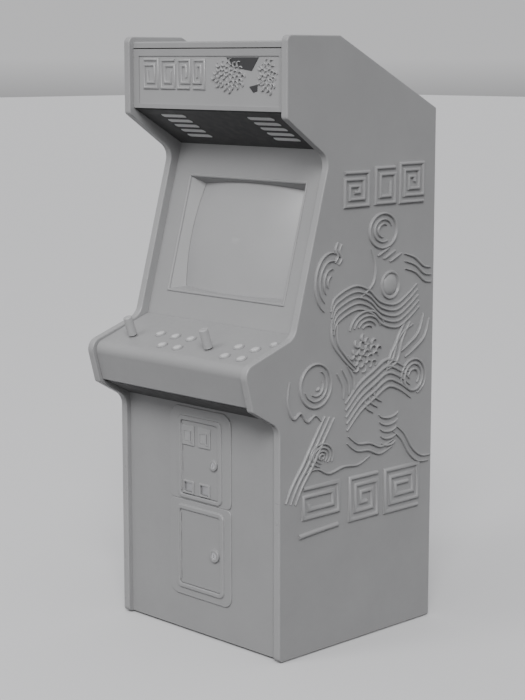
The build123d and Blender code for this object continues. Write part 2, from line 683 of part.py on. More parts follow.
def coin_door():
    door = door_pan(COIN_HOLE, COIN_LOCK)
    for x in COIN_X:
        door -= FRONT * pad(reject_window(x, 1.0), -10, 10, 2)
        door -= FRONT * block(x + 12.4, x + 15.6, ENTRY_Z - 16, ENTRY_Z + 14, -10, 10)
        door -= FRONT * pad((x - 19.6, x + 19.6, CUP_Z - 16.6, CUP_Z + 16.6), -10, 10, 3)
    return door


def coin_bezels():
    """Entry bezel with a button window and coin slot, and the return cup below it."""
    parts = []
    for x in COIN_X:
        half_w, half_h = ENTRY_W / 2, ENTRY_H / 2
        bezel = pad((x - half_w, x + half_w, ENTRY_Z - half_h, ENTRY_Z + half_h), DOOR_FACE, 9, 3)
        bezel = chamfer(top_edges(bezel), 1.4)
        bezel += pad((x + 8.5, x + 19.5, ENTRY_Z - 20, ENTRY_Z + 18), DOOR_FACE, 11, 2)
        bezel -= pad(reject_window(x, 0.3), 0, 20, 2)
        bezel -= block(x + 12.4, x + 15.6, ENTRY_Z - 16, ENTRY_Z + 14, 0, 20)
        half_w, half_h = CUP_W / 2, CUP_H / 2
        cup = chamfer(top_edges(pad((x - half_w, x + half_w, CUP_Z - half_h, CUP_Z + half_h),
                                    DOOR_FACE, 9, 3)), 1.4)
        cup += pad((x - 19, x + 19, CUP_Z - 16, CUP_Z + 16), -34, DOOR_FACE, 3)
        cup -= pad((x - 17.5, x + 17.5, CUP_Z - 14.5, CUP_Z + 14.5), -32.5, 20, 2)
        cup -= Pos(0, CUP_Z + FLAP_UP, FLAP_OUT) * Rot(0, 90, 0) * Pos(0, 0, x) * Cylinder(1 + FIT, 37)
        parts += [FRONT * bezel, FRONT * cup]
    return parts


FLAP_UP, FLAP_OUT = 12.0, 2.5


def return_flap(index):
    """Small plate that hangs from a pin across the top of the return cup."""
    x = COIN_X[index]
    plate = block(x - 16.8, x + 16.8, CUP_Z - 13.6, CUP_Z + FLAP_UP, FLAP_OUT - 0.8, FLAP_OUT + 0.8)
    pin = Pos(x, CUP_Z + FLAP_UP, FLAP_OUT) * Rot(0, 90, 0) * Cylinder(1, 36.4)
    barrel = Pos(x, CUP_Z + FLAP_UP, FLAP_OUT) * Rot(0, 90, 0) * Cylinder(1.8, 33.6)
    return FRONT * (plate + pin + barrel)


def reject_button(index):
    body = pad(reject_window(COIN_X[index]), -12, 8, 2)
    return FRONT * chamfer(top_edges(body), 1)


def coin_mechs():
    """Coin acceptors behind the door, each hung on a bracket."""
    parts = []
    for x in COIN_X:
        body = block(x - 26, x + 26, 556, 632, -66, -20) + block(x - 14, x + 14, 488, 556, -58, -30)
        bracket = block(x - 22, x + 30, 566, 624, -22, -18.5)
        for leg in (x - 22, x + 28):
            bracket += block(leg, leg + 2, 566, 624, -50, DOOR_FACE - DOOR_T)
        parts.append(FRONT * (body + bracket))
    return parts


def lock_plug(lock):
    """Plug with a key slot in front and a flat cam behind, turned down when unlocked."""
    x, z, _, plug_r = lock
    plug = rod(x, z, plug_r, -20, 10.5)
    plug -= block(x - 1, x + 1, z - plug_r * 0.6, z + plug_r * 0.6, 7, 12)
    cam = pad((x - 8, x + 8, z - 34, z + 8), -22.5, -20, 4)
    return FRONT * (plug + cam)


def cash_box():
    """Open-topped steel box with a rolled rim and a front grip."""
    outer = block(-78, 78, -209, -14, 78, 258)
    inner = block(-76.5, 76.5, -207.5, -15.5, 79.5, 270)
    rim = block(-80, 80, -211, -12, 252, 256)
    box = (outer + rim) - inner
    return box + block(-30, 30, -216, -209, 210, 216)


# ---- inside and back ----
def game_board():
    """Circuit board on stand-offs against the left side panel."""
    x0 = -INNER_X
    board = block(x0 + 8, x0 + 10, 60, 320, 300, 560)
    for y in (70, 310):
        for z in (310, 550):
            board += Pos(x0 + 4.5, y, z) * Rot(0, 90, 0) * Cylinder(4, 9)
    for row in range(4):
        for column in range(5):
            y, z = 84 + 44 * column, 330 + 52 * row
            board += block(x0 + 10, x0 + 15, y, y + 30, z, z + 14)
    return board + block(x0 + 10, x0 + 22, 120, 260, 536, 552)


def power_supply():
    case = fillet(block(150, 300, 140, 300, 78, 140).edges().filter_by(Axis.Z), 3)
    for row in range(7):
        case -= block(165, 285, 156 + 18 * row, 164 + 18 * row, 137, 142)
    return case


def power_inlet():
    """Metal plate with a three-pin inlet and the collar of the mains switch."""
    x, z = -INLET[0], INLET[1]
    plate = pad((x - 30, x + 30, z - 42, z + 42), 0, 2, 5)
    plate += pad((x - 16, x + 16, z - 32, z - 6), -18, 4, 3)
    plate -= pad((x - 12, x + 12, z - 28, z - 10), -14, 6, 2)
    for dx, dz in ((-7, -22), (7, -22), (0, -16)):
        plate += block(x + dx - 1, x + dx + 1, z + dz - 2.2, z + dz + 2.2, -15, 1)
    plate += block(x - 12, x + 12, z + 6, z + 32, -14, 4)
    plate -= block(x - 7.4, x + 7.4, z + 8.6, z + 29.4, -12, 6)
    bore = Pos(x, z + 19, ROCKER_OUT) * Rot(0, 90, 0) * Cylinder(1.5 + FIT, 20)
    return BACK * (plate - bore)


ROCKER_OUT = -2.0


def power_rocker():
    """Switch key that rests tipped to one side."""
    key = Rot(0, 90, 0) * Cylinder(10, 14) & Box(14, 18.8, 17.2)
    key -= Pos(0, 0, 28) * Rot(0, 90, 0) * Cylinder(20, 20)
    key += Rot(0, 90, 0) * Cylinder(1.5, 18.4)
    return BACK * (Pos(-INLET[0], INLET[1] + 19, ROCKER_OUT) * Rot(10, 0, 0) * key)


def rear_door():
    """Board inset in the back, with vents, the moving hinge leaves and the lock housing."""
    x0, x1, z0, z1 = REAR_HOLE
    inner = BACK_Y - BOARD_T
    door = block(x0 + 2, x1 - 2, inner, BACK_Y, z0 + 2, z1 - 2)
    for row in range(7):
        door -= block(-110, 110, inner - 1, BACK_Y + 1, 930 + 24 * row, 938 + 24 * row)
    x, z = REAR_LOCK
    lock = ring(-x, z, 14, 9 + FIT, 0, 4) + ring(-x, z, 11, 9 + FIT, -BOARD_T - 4, 0)
    door -= BACK * rod(-x, z, 11, -BOARD_T - 1, 1)
    door += BACK * lock
    ax, ay = REAR_AXIS
    for zh in REAR_HINGE_Z:
        low, high = zh + 25, zh + 49.5
        door += ring(ax, ay, 3.2, PIN_R + FIT, low, high)
        door += block(ax + 1.8, ax + 3.2, BACK_Y - 0.5, ay, low, high)
        door += block(ax + 1.8, ax + 30, BACK_Y, BACK_Y + 1.6, low, high)
    return door


def rear_lock():
    x, z = REAR_LOCK
    plug = rod(-x, z, 9, -BOARD_T - 8, 3)
    plug -= block(-x - 1, -x + 1, z - 5.4, z + 5.4, 0, 5)
    cam = pad((-x - 8, -x + 8, z - 40, z + 8), -BOARD_T - 10.5, -BOARD_T - 8, 4)
    return BACK * (plug + cam)


def build():
    """Every node's name and its solid or solids."""
    right_side, right_molding, right_art = side_panel(), edge_molding(), art_panel()
    top, roof = top_and_roof()
    nodes = {
        "side_panel_right": right_side, "side_panel_left": mirrored(right_side),
        "t_moldings": [right_molding, mirrored(right_molding)],
        "side_art": [right_art, mirrored(right_art)],
        "front_panel": front_panel(), "bottom_board": bottom_board(), "back_panel": back_panel(),
        "top_panel": top, "roof_panel": roof, "screws": screws(), "levelling_feet": levelling_feet(),
        "marquee_panel": marquee_panel(), "marquee_retainers": marquee_retainers(),
        "marquee_light": marquee_light(), "speaker_panel": speaker_panel(),
        "speaker_grilles": speaker_grilles(), "speakers": speakers(),
        "monitor_bezel": monitor_bezel(), "crt_tube": crt_tube(), "monitor_chassis": monitor_chassis(),
        "control_shelf": control_shelf(), "control_panel": control_panel(),
        "fixed_hinges": hinge_leaves() + hinge_pins(), "monitor_board": monitor_board(),
        "button_housings": button_housings(), "microswitches": microswitches(),
        "joystick_housings": joystick_housings(), "dust_washers": dust_washers(),
        "coin_frames": coin_frames(), "coin_door": coin_door(), "coin_bezels": coin_bezels(),
        "coin_mechs": coin_mechs(), "coin_lock": lock_plug(COIN_LOCK),
        "cash_door": door_pan(CASH_HOLE, CASH_LOCK), "cash_lock": lock_plug(CASH_LOCK),
        "cash_box": cash_box(), "game_board": game_board(), "power_supply": power_supply(),
        "power_inlet": power_inlet(), "power_rocker": power_rocker(),
        "rear_door": rear_door(), "rear_lock": rear_lock(),
    }
    for name in BUTTONS:
        nodes[name] = button(name)
    for side in STICKS:
        nodes["gimbal_" + side] = gimbal(side)
        nodes["joystick_" + side] = joystick(side)
    for index, side in enumerate(("left", "right")):
        nodes["return_flap_" + side] = return_flap(index)
        nodes["reject_button_" + side] = reject_button(index)
    return nodes


os.makedirs("parts", exist_ok=True)
for node, shape in build().items():
    solids = shape if isinstance(shape, list) else [shape]
    loose = [solid for item in solids for solid in item.solids()]
    body = loose[0] if len(loose) == 1 else Compound(children=loose)
    body.label = node
    export_step(body, f"parts/{node}.step")
    print(node, len(loose))
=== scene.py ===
import json
import math

import bpy
from mathutils import Matrix, Vector


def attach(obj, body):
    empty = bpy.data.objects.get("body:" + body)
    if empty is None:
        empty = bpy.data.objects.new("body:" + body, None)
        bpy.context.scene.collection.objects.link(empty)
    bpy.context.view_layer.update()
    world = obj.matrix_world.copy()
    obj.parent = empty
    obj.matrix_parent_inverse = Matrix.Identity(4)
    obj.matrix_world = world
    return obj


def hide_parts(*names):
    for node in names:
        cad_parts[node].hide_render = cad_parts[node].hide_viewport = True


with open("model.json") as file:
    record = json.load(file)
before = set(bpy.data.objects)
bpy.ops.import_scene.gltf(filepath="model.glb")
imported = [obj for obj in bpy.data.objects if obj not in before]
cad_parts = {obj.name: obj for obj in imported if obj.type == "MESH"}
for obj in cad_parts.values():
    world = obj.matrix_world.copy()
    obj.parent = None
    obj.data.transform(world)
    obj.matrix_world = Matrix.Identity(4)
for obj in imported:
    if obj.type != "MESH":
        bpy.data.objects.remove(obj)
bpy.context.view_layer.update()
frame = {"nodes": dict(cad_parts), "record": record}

MM = 0.001
FACE_X = 0.340               # outer face of the side boards
HEAD_Y = -0.214              # front of the marquee panel
RELIEF_Y = -0.004            # the side pattern's u = 0
GREY = (0.300, 0.300, 0.304)
PALE_FLOOR = (0.70, 0.70, 0.71, 1)
SKY_LOW, SKY_HIGH = (0.02, 0.02, 0.02, 1), (0.62, 0.62, 0.63, 1)
EYE = (3.690, -3.593, 1.6865)
EYE_DOWN, EYE_TURN = 9.449, 45.715     # degrees below level, and round from looking along +Y
LENS_MM, SENSOR_MM = 90.05, 36.0
FLOOR_HALF = 60


# ---- materials ----
def shader(name):
    """A node material with its Principled shader and a small helper that adds nodes."""
    material = bpy.data.materials.new(name)
    material.use_nodes = True
    tree = material.node_tree
    surface = tree.nodes["Principled BSDF"]

    def add(kind, links=(), **values):
        node = tree.nodes.new("ShaderNode" + kind)
        for key, value in values.items():
            if hasattr(node, key):
                setattr(node, key, value)
            else:
                node.inputs[key.replace("_", " ").strip()].default_value = value
        for source, target in links:
            tree.links.new(source, node.inputs[target])
        return node

    def feed(source, target):
        tree.links.new(source, surface.inputs[target])

    return material, surface, add, feed


def tone(colour, scale):
    return (*(min(1.0, c * scale) for c in colour), 1.0)


def noise(add, scale, detail=3.0, stretch=(1, 1, 1), distortion=0.0):
    """Noise in object space, stretched along the axes."""
    place = add("TexCoord")
    mapped = add("Mapping", [(place.outputs["Object"], "Vector")], Scale=stretch)
    return add("TexNoise", [(mapped.outputs[0], "Vector")], Scale=scale, Detail=detail,
               Distortion=distortion).outputs["Fac"]


def ramp(add, source, low, high, a, b):
    node = add("MapRange", [(source, 0)])
    for index, value in enumerate((low, high, a, b), start=1):
        node.inputs[index].default_value = value
    return node.outputs[0]


def rubbed_and_highlit_edges(add, radius, samples=4):
    """Where a slightly rounded normal leaves the true one: 0 on faces, rising along edges; this masks edges
    lightened partly as wear and partly as painted highlight.
    """
    soft = add("Bevel", samples=samples, Radius=radius)
    true = add("NewGeometry")
    dot = add("VectorMath", [(soft.outputs[0], 0), (true.outputs["Normal"], 1)], operation="DOT_PRODUCT")
    return ramp(add, dot.outputs["Value"], 0.97, 0.80, 0.0, 1.0)


def coat(name, colour, rough=0.5, grain=900.0, bump=0.02, mottle=0.08, edge=0.0008, rub_and_highlight=0.18,
         stretch=(1, 1, 1), metal=0.0, clear=0.0, sheen_noise=0.08, specular=0.5):
    """Painted, laminated or moulded finish: mottled colour, fine grain, soft edges lightened partly as wear
    and partly as painted highlight.
    """
    material, surface, add, feed = shader(name)
    broad = noise(add, 6.0, 4.0)
    fine = noise(add, grain, 2.0, stretch)
    smear = noise(add, 38.0, 5.0, stretch, 0.6)
    blend = add("Mix", data_type="RGBA")
    links = material.node_tree.links
    links.new(ramp(add, broad, 0.3, 0.7, 0.0, 1.0), blend.inputs[0])
    blend.inputs[6].default_value = tone(colour, 1 - mottle)
    blend.inputs[7].default_value = tone(colour, 1 + mottle)
    specks = add("Mix", data_type="RGBA", blend_type="MULTIPLY")
    specks.inputs[0].default_value = 1.0
    links.new(blend.outputs[2], specks.inputs[6])
    links.new(ramp(add, fine, 0.25, 0.75, 0.93, 1.07), specks.inputs[7])
    # edges painted lighter: partly wear, partly a painted highlight where rounded edges would catch the light
    rubbed_highlit_mix = add("Mix", data_type="RGBA")
    links.new(ramp(add, rubbed_and_highlit_edges(add, edge * 1.5), 0.0, 1.0, 0.0, rub_and_highlight), rubbed_highlit_mix.inputs[0])
    links.new(specks.outputs[2], rubbed_highlit_mix.inputs[6])
    rubbed_highlit_mix.inputs[7].default_value = tone(colour, 1.7)
    feed(rubbed_highlit_mix.outputs[2], "Base Color")
    feed(ramp(add, smear, 0.3, 0.7, rough - sheen_noise, rough + sheen_noise), "Roughness")
    soft = add("Bevel", samples=6, Radius=edge)
    rise = add("Bump", [(fine, "Height"), (soft.outputs[0], "Normal")], Strength=1.0,
               Distance=bump * MM)
    feed(rise.outputs[0], "Normal")
    surface.inputs["Metallic"].default_value = metal
    surface.inputs["Specular IOR Level"].default_value = specular
    surface.inputs["Coat Weight"].default_value = clear
    surface.inputs["Coat Roughness"].default_value = 0.12
    return material


def screen_glass():
    """Tube face: smooth glass over a fine phosphor pattern."""
    material, surface, add, feed = shader("screen_glass")
    place = add("TexCoord")
    dots = add("TexVoronoi", [(place.outputs["Object"], "Vector")], Scale=1500.0)
    haze = noise(add, 5.0, 3.0)
    blend = add("Mix", data_type="RGBA")
    links = material.node_tree.links
    links.new(ramp(add, dots.outputs["Distance"], 0.0, 0.7, 0.0, 1.0), blend.inputs[0])
    blend.inputs[6].default_value = (0.365, 0.365, 0.37, 1)
    blend.inputs[7].default_value = (0.33, 0.33, 0.335, 1)
    shade = add("Mix", data_type="RGBA", blend_type="MULTIPLY")
    shade.inputs[0].default_value = 1.0
    links.new(blend.outputs[2], shade.inputs[6])
    links.new(ramp(add, haze, 0.3, 0.7, 0.96, 1.04), shade.inputs[7])
    feed(shade.outputs[2], "Base Color")
    feed(ramp(add, haze, 0.3, 0.7, 0.30, 0.38), "Roughness")
    surface.inputs["Coat Weight"].default_value = 0.30
    surface.inputs["Coat Roughness"].default_value = 0.30
    return material


def circuit():
    """Dull board with fine tracks."""
    material, surface, add, feed = shader("circuit")
    place = add("TexCoord")
    tracks = add("TexBrick", [(place.outputs["Object"], "Vector")], Scale=90.0, Mortar_Size=0.03)
    tracks.inputs["Color1"].default_value = (0.05, 0.09, 0.06, 1)
    tracks.inputs["Color2"].default_value = (0.06, 0.11, 0.07, 1)
    tracks.inputs["Mortar"].default_value = (0.22, 0.24, 0.16, 1)
    feed(tracks.outputs["Color"], "Base Color")
    feed(ramp(add, noise(add, 60.0), 0.3, 0.7, 0.35, 0.55), "Roughness")
    return material


def finishes():
    """One material for each material slot of the record."""
    g = GREY
    metal = dict(metal=0.85, mottle=0.06, rub_and_highlight=0.1, bump=0.004, grain=1400.0)
    return {
        "board_side": coat("board_side", g, 0.52, 700, 0.03, 0.035),
        "board_front": coat("board_front", g, 0.52, 700, 0.03, 0.035),
        # near-black undersides: painted shade standing in for the dark shade under the speaker panel and
        # control panel
        "board_under": coat("board_under", (0.06, 0.06, 0.061), 0.62, 700, 0.03, 0.05, specular=0.25),
        "board_back": coat("board_back", tone(g, 0.62)[:3], 0.68, 420, 0.06, 0.10, stretch=(1, 1, 0.12)),
        "board_raw": coat("board_raw", (0.20, 0.175, 0.145), 0.8, 260, 0.10, 0.14, stretch=(0.1, 1, 1)),
        # trim edges lightened: partly wear, partly painted highlight along the moulding
        "edge_trim": coat("edge_trim", tone(g, 1.08)[:3], 0.34, 1100, 0.012, 0.03, 0.0008, 0.30),
        "relief": coat("relief", tone(g, 1.04)[:3], 0.36, 900, 0.02, 0.03, 0.0007, 0.12),
        "screw_steel": coat("screw_steel", (0.50, 0.50, 0.51), 0.36, edge=0.0003, **metal),
        "foot_steel": coat("foot_steel", (0.45, 0.45, 0.46), 0.42, edge=0.0005, **metal),
        "marquee": coat("marquee", tone(g, 1.10)[:3], 0.36, 1500, 0.006, 0.02, 0.0006, 0.08, clear=0.15),
        "trim_metal": coat("trim_metal", g, 0.44, 1300, 0.014, 0.03, 0.0005, 0.15),
        "lamp": coat("lamp", (0.62, 0.62, 0.61), 0.34, 1200, 0.008, 0.02, 0.0005, 0.05),
        # near-white grille: painted light standing in for the lit slot walls that sit in shade
        "grille": coat("grille", (0.86, 0.86, 0.865), 0.46, 1300, 0.014, 0.03, 0.0004, 0.1),
        "speaker": coat("speaker", (0.05, 0.05, 0.052), 0.55, 900, 0.02, 0.05, 0.0006, 0.2),
        "bezel": coat("bezel", g, 0.46, 1100, 0.03, 0.025, 0.0012, 0.40),
        "screen_glass": screen_glass(),
        "chassis": coat("chassis", (0.24, 0.24, 0.25), 0.45, edge=0.0005, **metal),
        "circuit": circuit(),
        "deck_metal": coat("deck_metal", g, 0.46, 1000, 0.022, 0.03, 0.0008, 0.12),
        "hinge_steel": coat("hinge_steel", (0.40, 0.40, 0.41), 0.38, edge=0.0003, **metal),
        "button_rim": coat("button_rim", tone(g, 1.05)[:3], 0.34, 1600, 0.004, 0.02, 0.0004, 0.05, clear=0.2),
        # caps painted far lighter than the grey: a painted highlight for the bright domes
        "button_cap": coat("button_cap", tone(g, 1.75)[:3], 0.24, 1600, 0.003, 0.02, 0.0006, 0.05, clear=0.5),
        "switch": coat("switch", (0.03, 0.03, 0.032), 0.45, 1200, 0.01, 0.04, 0.0004, 0.15),
        "stick_body": coat("stick_body", (0.42, 0.42, 0.43), 0.4, edge=0.0005, **metal),
        "gimbal": coat("gimbal", (0.04, 0.04, 0.042), 0.45, 1200, 0.01, 0.04, 0.0004, 0.15),
        "stick": coat("stick", tone(g, 1.25)[:3], 0.24, 1500, 0.004, 0.02, 0.0006, 0.10, clear=0.5),
        "washer": coat("washer", tone(g, 0.9)[:3], 0.42, 1300, 0.008, 0.03, 0.0004, 0.1),
        # door frames, doors and coin plates: strong edge lightening, partly wear and partly painted highlight
        # on their rims
        "door_frame": coat("door_frame", g, 0.36, 1000, 0.02, 0.03, 0.0012, 0.55),
        "door_metal": coat("door_metal", tone(g, 0.97)[:3], 0.38, 1000, 0.02, 0.03, 0.0012, 0.55),
        "coin_metal": coat("coin_metal", tone(g, 1.05)[:3], 0.34, 1100, 0.012, 0.04, 0.0010, 0.55),
        "mech": coat("mech", (0.36, 0.36, 0.37), 0.42, edge=0.0004, **metal),
        "lock_metal": coat("lock_metal", (0.52, 0.52, 0.53), 0.26, edge=0.0004, **metal),
        "box_steel": coat("box_steel", (0.42, 0.42, 0.43), 0.45, edge=0.0006, **metal),
        "supply_case": coat("supply_case", (0.55, 0.55, 0.56), 0.38, edge=0.0005, **metal),
        "inlet_plate": coat("inlet_plate", (0.42, 0.42, 0.43), 0.4, edge=0.0004, **metal),
        "rocker": coat("rocker", (0.03, 0.03, 0.032), 0.35, 1400, 0.005, 0.03, 0.0004, 0.1),
        "flap": coat("flap", (0.40, 0.40, 0.41), 0.4, edge=0.0003, **metal),
        "reject": coat("reject", tone(g, 1.12)[:3], 0.32, 1500, 0.005, 0.02, 0.0005, 0.08, clear=0.2),
    }


def dress_nodes(paints):
    """Give every carried-over node the finish of its slot."""
    slots = {row["node"]: row["material_slot"] for row in frame["record"]["subparts"]}
    for name, node in frame["nodes"].items():
        paint = paints[slots[name]]
        if not node.material_slots:
            node.data.materials.append(paint)
        for place in node.material_slots:
            place.material = paint


# ---- raised relief ----
def smooth_line(points, steps=8):
    """Points along a smooth curve through the given ones."""
    if len(points) < 3:
        return [Vector(p) for p in points]
    line = []
    ends = [points[0], *points, points[-1]]
    for a, b, c, d in zip(ends, ends[1:], ends[2:], ends[3:]):
        a, b, c, d = (Vector(p) for p in (a, b, c, d))
        for i in range(steps):
            t = i / steps
            line.append(0.5 * (2 * b + (c - a) * t + (2 * a - 5 * b + 4 * c - d) * t * t
                               + (3 * b - a - 3 * c + d) * t ** 3))
    line.append(Vector(points[-1]))
    return line


PROFILE = [(-0.5, -0.2), (-0.5, 0.35), (-0.34, 0.82), (-0.12, 1.0), (0.12, 1.0), (0.34, 0.82),
           (0.5, 0.35), (0.5, -0.2)]


def ribbon(mesh, line, width, rise, taper=True):
    """Adds a raised, rounded band along a line of (u, v) points, mitred at its corners."""
    verts, faces = mesh
    first, count, last = len(verts), len(PROFILE), len(line) - 1
    headings = [(b - a).normalized() for a, b in zip(line, line[1:])]
    normals = [Vector((-h.y, h.x)) for h in headings]
    for i, point in enumerate(line):
        n0, n1 = normals[max(i - 1, 0)], normals[min(i, last - 1)]
        side = (n0 + n1) / max(0.3, 1 + n0.dot(n1))
        t = i / last
        swell = max(0.16, math.sin(math.pi * t)) ** 0.5 if taper else 1.0
        for across, up in PROFILE:
            spot = point + side * (across * width * swell)
            verts.append((spot.x, spot.y, up * rise * (0.55 + 0.45 * swell)))
    for i in range(last):
        for j in range(count):
            a = first + i * count
            k = (j + 1) % count
            faces.append((a + j, a + k, a + count + k, a + count + j))
    faces.append(tuple(first + j for j in reversed(range(count))))
    faces.append(tuple(first + last * count + j for j in range(count)))


def arc(cu, cv, radius, start, end, squash=1.0, steps=26):
    """Points of an arc, angles in degrees, squashed along v."""
    return [Vector((cu + radius * math.cos(math.radians(start + (end - start) * i / steps)),
                    cv + squash * radius * math.sin(math.radians(start + (end - start) * i / steps))))
            for i in range(steps + 1)]


def loop(mesh, cu, cv, radius, width, rise, squash=1.0):
    ribbon(mesh, arc(cu, cv, radius, 0, 359.9, squash, 44), width, rise, taper=False)


def fret(mesh, box, width, rise, corner):
    """A band that winds inwards round a rectangle, starting from one of its corners."""
    left, right, low, high = box
    pitch = width * 1.9
    points = [(left, high)]
    for turn in range(4):
        l, r, b, t = left + pitch * turn, right - pitch * turn, low + pitch * turn, high - pitch * turn
        for u, v in ((r, t), (r, b), (l, b), (l, t - pitch)):
            if r - l > width and t - b > width and abs(u - points[-1][0]) + abs(v - points[-1][1]) > width:
                points.append((u, v))
    if corner in (1, 2):
        points = [(left + right - u, v) for u, v in points]
    if corner in (2, 3):
        points = [(u, low + high - v) for u, v in points]
    ribbon(mesh, [Vector(p) for p in points], width, rise, taper=False)


def boss(mesh, cu, cv, radius, rise):
    """A round raised rim with a dome in the middle."""
    verts, faces = mesh
    rings = [(1.0, -0.3), (1.0, 0.5 * rise), (0.95, 0.8 * rise), (0.86, 0.8 * rise), (0.78, 0.1 * rise),
             (0.72, 0.1 * rise), (0.66, 0.5 * rise), (0.52, 0.85 * rise), (0.34, 1.1 * rise),
             (0.16, 1.2 * rise)]
    first, count = len(verts), 40
    for size, up in rings:
        for i in range(count):
            angle = 2 * math.pi * i / count
            verts.append((cu + radius * size * math.cos(angle), cv + radius * size * math.sin(angle), up))
    for level in range(len(rings) - 1):
        for i in range(count):
            a, k = first + level * count, (i + 1) % count
            faces.append((a + i, a + k, a + count + k, a + count + i))
    top = first + (len(rings) - 1) * count
    faces.append(tuple(top + i for i in range(count)))
    faces.append(tuple(first + i for i in reversed(range(count))))


def frets(mesh, boxes, width, rise):
    """A row of frets, each wound from a different corner."""
    for corner, box in enumerate(boxes):
        fret(mesh, box, width, rise, corner % 4)


def flock(mesh, points, count, shift, width, rise):
    """Parallel bands: a smooth line repeated with a small shift."""
    for i in range(count):
        ribbon(mesh, smooth_line([(u + shift[0] * i, v + shift[1] * i) for u, v in points]), width, rise)


def ripples(mesh, cu, cv, radii, start, end, turn, squash, width, rise):
    """Nested arcs about one centre, each turned a little from the last."""
    for i, radius in enumerate(radii):
        ribbon(mesh, arc(cu, cv, radius, start + turn * i, end - turn * i, squash), width, rise)


def side_pattern():
    """Abstract composition for a side panel, drawn in millimetres: u towards the back, v up."""
    mesh = ([], [])
    rise, wide, slim = 7.5, 10.0, 7.5
    frets(mesh, [(-2, 96, 1277, 1371), (126, 208, 1279, 1380), (230, 332, 1277, 1388)], wide, rise)
    frets(mesh, [(-163, -20, 407, 492), (28, 146, 368, 491), (180, 326, 364, 489)], wide + 2, rise)
    ribbon(mesh, smooth_line([(-180, 356), (-100, 362), (-22, 366)]), 14, rise, taper=False)
    boss(mesh, 194, 1040, 42, 8)
    loop(mesh, 160, 1200, 58, slim, rise, 0.86)
    ripples(mesh, 160, 1200, (38, 22), 20, 300, 30, 0.86, slim, rise)
    flock(mesh, [(-56, 985), (-40, 1022), (37, 1050), (100, 1034), (150, 996), (212, 982), (262, 1002),
                 (312, 1034)], 5, (3, -17), slim, rise)
    flock(mesh, [(254, 1126), (300, 1112), (340, 1084), (372, 1078)], 3, (2, -22), slim, rise)
    flock(mesh, [(240, 1130), (212, 1118), (190, 1108)], 3, (-26, 10), slim, rise)
    ripples(mesh, -56, 1066, (64, 47, 30, 15), 55, 245, 9, 1.35, slim, rise)
    flock(mesh, [(-30, 1180), (-40, 1160), (-30, 1140), (-42, 1122)], 2, (16, -6), slim, rise)
    ribbon(mesh, smooth_line([(110, 1150), (128, 1100), (118, 1050), (70, 1016)]), slim, rise)
    ripples(mesh, 96, 914, (74, 57, 40, 23), 8, 172, 8, 0.8, slim, rise)
    flock(mesh, [(-52, 962), (-50, 900), (-10, 850), (40, 806)], 2, (22, -4), slim, rise)
    flock(mesh, [(262, 930), (228, 880), (206, 820), (164, 798)], 2, (20, -6), wide, rise)
    flock(mesh, [(368, 926), (346, 872), (300, 840), (262, 820)], 2, (-26, 16), slim, rise)
    cluster(mesh, 84, 850, 62, 50, 22, slim, rise)
    loop(mesh, -116, 782, 62, slim, rise)
    ripples(mesh, -116, 782, (44, 29, 14), 200, 420, 40, 1.0, slim, rise)
    ribbon(mesh, smooth_line([(-220, 806), (-228, 748), (-206, 700), (-176, 712), (-150, 684), (-118, 698),
                              (-92, 676)]), slim, rise)
    loop(mesh, 300, 756, 40, slim, rise)
    ripples(mesh, 300, 756, (54, 24), -70, 200, 20, 1.0, slim, rise)
    flock(mesh, [(290, 694), (240, 726), (188, 742), (130, 716), (70, 684), (14, 634)], 5, (-2, 20), wide,
          rise)
    ribbon(mesh, smooth_line([(296, 916), (244, 890), (196, 832), (180, 786)]), slim, rise)
    flock(mesh, [(-30, 806), (-4, 766), (-2, 730)], 3, (22, 8), slim, rise)
    flock(mesh, [(86, 716), (96, 690), (124, 672)], 3, (18, 14), slim, rise)
    for i in range(5):                      # stack of shallow curves
        ribbon(mesh, arc(192, 668 - 22 * i, 44 - 3 * i, 200, 340, 0.45), slim, rise)
    flock(mesh, [(-78, 690), (-120, 632), (-164, 566), (-206, 512), (-234, 462)], 3, (19, -5), wide, rise)
    ripples(mesh, -92, 574, (48, 35, 22, 10), -30, 250, -12, 0.8, slim, rise)
    ribbon(mesh, smooth_line([(-164, 536), (-110, 542), (-61, 522), (0, 532), (60, 528), (112, 546)]), slim,
           rise)
    flock(mesh, [(226, 618), (262, 590), (300, 540), (340, 512), (384, 508)], 2, (-12, -16), slim, rise)
    flock(mesh, [(20, 616), (60, 590), (110, 584), (160, 566), (214, 580)], 2, (-6, -20), slim, rise)
    return mesh


def cluster(mesh, cu, cv, half_u, half_v, count, width, rise):
    """Short curved strokes packed into an oval, each turned on from the last."""
    for i in range(count):
        turn, reach = 137.5 * i, math.sqrt((i + 0.5) / count)
        u = cu + half_u * reach * math.cos(math.radians(turn))
        v = cv + half_v * reach * math.sin(math.radians(turn))
        ribbon(mesh, arc(u, v, 1.5 * width, turn, turn + 190, 1.0, 10), width, rise + 0.04 * i)


def slab(mesh, outline, rise):
    """A thin flat plate with the given outline, anticlockwise."""
    verts, faces = mesh
    first, count = len(verts), len(outline)
    verts += [(u, v, up) for up in (-0.3, rise) for u, v in outline]
    faces += [(first + i, first + (i + 1) % count, first + count + (i + 1) % count, first + count + i)
              for i in range(count)]
    faces.append(tuple(range(first + count, first + 2 * count)))
    faces.append(tuple(reversed(range(first, first + count))))


def marquee_pattern():
    """Frets and packed strokes across the marquee, in millimetres: u across, v up."""
    mesh = ([], [])
    frets(mesh, [(-268, -208, 1603, 1684), (-192, -136, 1603, 1682), (-120, -70, 1603, 1682),
                 (-54, -8, 1603, 1682)], 8, 5.0)
    cluster(mesh, 92, 1640, 64, 44, 40, 4.8, 4.6)
    cluster(mesh, 246, 1638, 35, 46, 26, 4.8, 4.6)
    return mesh


